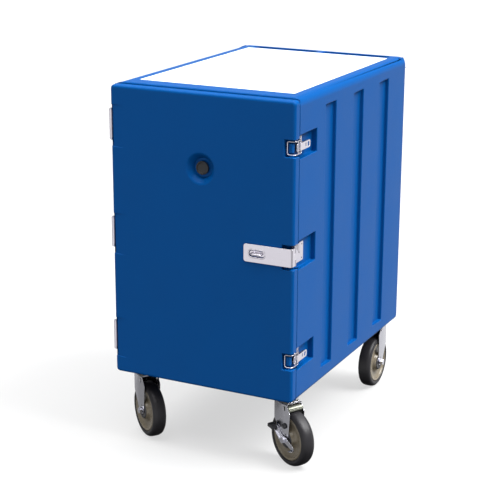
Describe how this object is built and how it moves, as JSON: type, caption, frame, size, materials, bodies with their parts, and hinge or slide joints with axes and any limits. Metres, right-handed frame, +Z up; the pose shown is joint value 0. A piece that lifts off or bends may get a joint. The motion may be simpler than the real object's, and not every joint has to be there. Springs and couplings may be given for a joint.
{
  "type": "insulated food carrier",
  "caption": "Insulated front-loading food carrier on casters, with a hinged latching door, hasp, vent and pan rails.",
  "frame": {"origin": "on the floor, under the middle of the whole carrier's bounding box", "axes": "+Z up, +X to the right of someone facing the door, +Y from the door towards the rear"},
  "size_m": [0.5798, 0.7846, 0.982],
  "materials": {
    "blue_polyethylene": "semi-gloss rotomoulded, fine orange peel",
    "insulation_foam": "rigid foam, matte",
    "white_board": "satin white",
    "black_rubber": "matte",
    "dark_plastic": "matte",
    "stainless_steel": "brushed",
    "zinc_plate": "bright zinc plate",
    "wheel_tyre": "dark grey rubber",
    "wheel_hub": "beige moulded core"
  },
  "bodies": {
    "root": {"body_shell": "blue_polyethylene", "body_foam": "insulation_foam", "foam_fill_plug_1": "dark_plastic", "foam_fill_plug_2": "dark_plastic", "top_board": "white_board", "lower_hinge_body_leaf": "stainless_steel", "lower_hinge_pin": "stainless_steel", "middle_hinge_body_leaf": "stainless_steel", "middle_hinge_pin": "stainless_steel", "upper_hinge_body_leaf": "stainless_steel", "upper_hinge_pin": "stainless_steel", "lower_latch_base": "stainless_steel", "upper_latch_base": "stainless_steel", "hasp_side_leaf": "stainless_steel", "hasp_pin": "stainless_steel", "front_left_swivel_plate": "zinc_plate", "front_left_kingpin": "zinc_plate", "rear_left_fork": "zinc_plate", "rear_left_axle_bolt": "zinc_plate", "front_right_swivel_plate": "zinc_plate", "front_right_kingpin": "zinc_plate", "rear_right_fork": "zinc_plate", "rear_right_axle_bolt": "zinc_plate"},
    "door": {"door_shell": "blue_polyethylene", "door_foam": "insulation_foam", "door_gasket": "black_rubber", "vent_tube": "dark_plastic", "hasp_staple": "stainless_steel", "lower_hinge_door_leaf": "stainless_steel", "middle_hinge_door_leaf": "stainless_steel", "upper_hinge_door_leaf": "stainless_steel"},
    "vent_cap": {"vent_cap": "black_rubber"},
    "hasp_strap": {"hasp_strap": "stainless_steel"},
    "lower_latch_lever": {"lower_latch_lever": "stainless_steel"},
    "lower_latch_bail": {"lower_latch_bail": "stainless_steel"},
    "upper_latch_lever": {"upper_latch_lever": "stainless_steel"},
    "upper_latch_bail": {"upper_latch_bail": "stainless_steel"},
    "front_left_swivel": {"front_left_fork": "zinc_plate", "front_left_axle_bolt": "zinc_plate"},
    "front_left_wheel": {"front_left_wheel_tyre": "wheel_tyre", "front_left_wheel_hub": "wheel_hub", "front_left_wheel_bush": "zinc_plate"},
    "rear_left_wheel": {"rear_left_wheel_tyre": "wheel_tyre", "rear_left_wheel_hub": "wheel_hub", "rear_left_wheel_bush": "zinc_plate"},
    "front_right_swivel": {"front_right_fork": "zinc_plate", "front_right_axle_bolt": "zinc_plate"},
    "front_right_wheel": {"front_right_wheel_tyre": "wheel_tyre", "front_right_wheel_hub": "wheel_hub", "front_right_wheel_bush": "zinc_plate"},
    "rear_right_wheel": {"rear_right_wheel_tyre": "wheel_tyre", "rear_right_wheel_hub": "wheel_hub", "rear_right_wheel_bush": "zinc_plate"},
    "front_right_brake": {"front_right_brake_pedal": "zinc_plate"},
    "front_right_brake_shoe": {"front_right_brake_shoe": "zinc_plate"}
  },
  "joints": [
    {"name": "door_swing", "type": "hinge", "parent": "root", "child": "door", "pos_m": [-0.28518, -0.36265, 0.584], "axis": [0, 0, -1], "range_deg": [0, 235]},
    {"name": "vent_cap_pull", "type": "slide", "parent": "door", "child": "vent_cap", "axis": [0, -1, 0], "range_m": [0, 0.008]},
    {"name": "hasp_swing", "type": "hinge", "parent": "root", "child": "hasp_strap", "pos_m": [0.23683, -0.35665, 0.585], "axis": [0, 0, 1], "range_deg": [0, 150]},
    {"name": "lower_latch_open", "type": "hinge", "parent": "root", "child": "lower_latch_lever", "pos_m": [0.23383, -0.34165, 0.309], "axis": [0, 0, -1], "range_deg": [0, 105]},
    {"name": "lower_bail_release", "type": "hinge", "parent": "lower_latch_lever", "child": "lower_latch_bail", "pos_m": [0.24022, -0.33525, 0.309], "axis": [0, 0, -1], "range_deg": [-147, 0]},
    {"name": "upper_latch_open", "type": "hinge", "parent": "root", "child": "upper_latch_lever", "pos_m": [0.23383, -0.34165, 0.861], "axis": [0, 0, -1], "range_deg": [0, 105]},
    {"name": "upper_bail_release", "type": "hinge", "parent": "upper_latch_lever", "child": "upper_latch_bail", "pos_m": [0.24022, -0.33525, 0.861], "axis": [0, 0, -1], "range_deg": [-147, 0]},
    {"name": "front_left_swivel_turn", "type": "hinge", "parent": "root", "child": "front_left_swivel", "pos_m": [-0.23117, -0.29965, 0.17], "axis": [0, 0, 1], "continuous": true},
    {"name": "front_left_wheel_spin", "type": "hinge", "parent": "front_left_swivel", "child": "front_left_wheel", "pos_m": [-0.21103, -0.31445, 0.076], "axis": [0.592, 0.8059, 0], "continuous": true},
    {"name": "rear_left_wheel_spin", "type": "hinge", "parent": "root", "child": "rear_left_wheel", "pos_m": [-0.23117, 0.30835, 0.076], "axis": [1, 0, 0], "continuous": true},
    {"name": "front_right_swivel_turn", "type": "hinge", "parent": "root", "child": "front_right_swivel", "pos_m": [0.19682, -0.29965, 0.17], "axis": [0, 0, 1], "continuous": true},
    {"name": "front_right_wheel_spin", "type": "hinge", "parent": "front_right_swivel", "child": "front_right_wheel", "pos_m": [0.21873, -0.31169, 0.076], "axis": [0.4818, 0.8763, 0], "continuous": true},
    {"name": "rear_right_wheel_spin", "type": "hinge", "parent": "root", "child": "rear_right_wheel", "pos_m": [0.19682, 0.30835, 0.076], "axis": [1, 0, 0], "continuous": true},
    {"name": "front_right_brake_press", "type": "hinge", "parent": "front_right_swivel", "child": "front_right_brake", "pos_m": [0.20505, -0.33658, 0.076], "axis": [-0.4818, -0.8763, 0], "range_deg": [0, 18]},
    {"name": "front_right_brake_shoe_drop", "type": "slide", "parent": "front_right_swivel", "child": "front_right_brake_shoe", "axis": [0, 0, -1], "range_m": [0, 0.0021]}
  ],
  "couplings": [
    {"joint": "lower_bail_release", "follows": "lower_latch_open", "ratio": -1.4},
    {"joint": "upper_bail_release", "follows": "upper_latch_open", "ratio": -1.4},
    {"joint": "front_right_brake_shoe_drop", "follows": "front_right_brake_press", "m_per_rad": 0.0064}
  ]
}
